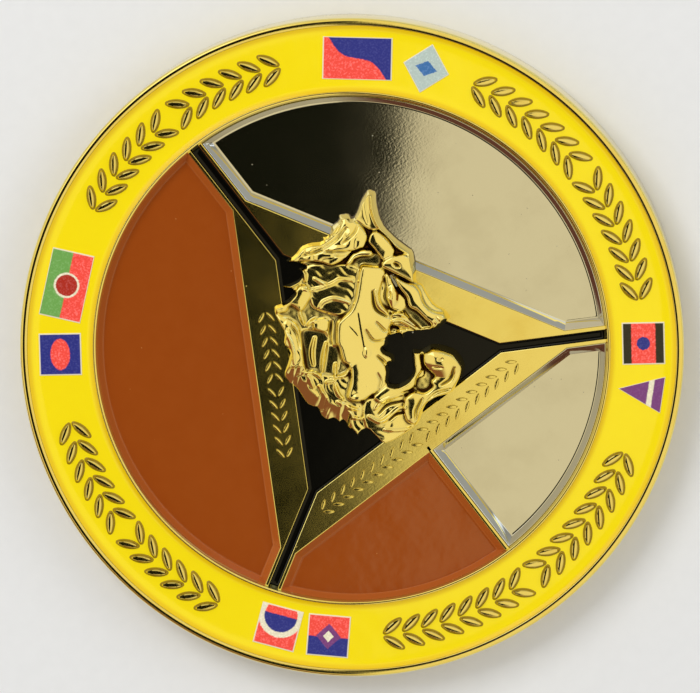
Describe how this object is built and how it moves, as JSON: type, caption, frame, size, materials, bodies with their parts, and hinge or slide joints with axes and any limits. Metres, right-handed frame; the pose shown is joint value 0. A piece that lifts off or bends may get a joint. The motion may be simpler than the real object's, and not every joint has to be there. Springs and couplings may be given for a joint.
{
  "type": "challenge coin",
  "caption": "Round die-cast commemorative coin with enamel fields, printed flags, mirror trays and a raised animal head; lies flat on its reverse rim.",
  "frame": {"origin": "centre of the reverse rim, on the plane that the coin rests on", "axes": "+Z out of the obverse, +Y towards the top of the design, +X to its right"},
  "size_m": [0.0508, 0.0508, 0.0049],
  "materials": {
    "gilt_metal": "polished gold plate over die-cast metal, slightly worn on the edges",
    "gilt_head": "bright polished gold plate in high relief",
    "nickel_mirror": "mirror-bright nickel plate",
    "pin_steel": "plain drawn pin, hidden",
    "yellow_enamel": "glossy soft enamel",
    "brown_enamel": "glossy soft enamel, thinner over the sloped edges",
    "black_enamel": "glossy soft enamel with a few dust specks",
    "ink_wave_long": "printed ink, red with a blue wave",
    "ink_pale_diamond": "printed ink, pale grey with a blue lozenge",
    "ink_black_edged": "printed ink, red between black bands",
    "ink_purple_pennant": "printed ink, purple with a cream bar",
    "ink_lozenge_square": "printed ink, dark red over dark blue with a pale lozenge",
    "ink_arc_square": "printed ink, red and blue parted by a cream arc",
    "ink_blue_square": "printed ink, dark blue with a red oval",
    "ink_green_long": "printed ink, green over red with a dark red triangle"
  },
  "bodies": {
    "root": {"coin_body": "gilt_metal", "yellow_enamel_ring": "yellow_enamel", "brown_enamel_left": "brown_enamel", "brown_enamel_lower": "brown_enamel", "black_enamel_triangle": "black_enamel", "mirror_tray_right": "nickel_mirror", "mirror_tray_lower": "nickel_mirror", "wolf_head": "gilt_head", "steady_pin_forehead": "pin_steel", "steady_pin_crest": "pin_steel", "flag_wave_long": "ink_wave_long", "flag_pale_diamond": "ink_pale_diamond", "flag_black_edged_square": "ink_black_edged", "flag_purple_pennant": "ink_purple_pennant", "flag_lozenge_square": "ink_lozenge_square", "flag_arc_square": "ink_arc_square", "flag_blue_square": "ink_blue_square", "flag_green_long": "ink_green_long"}
  },
  "joints": []
}
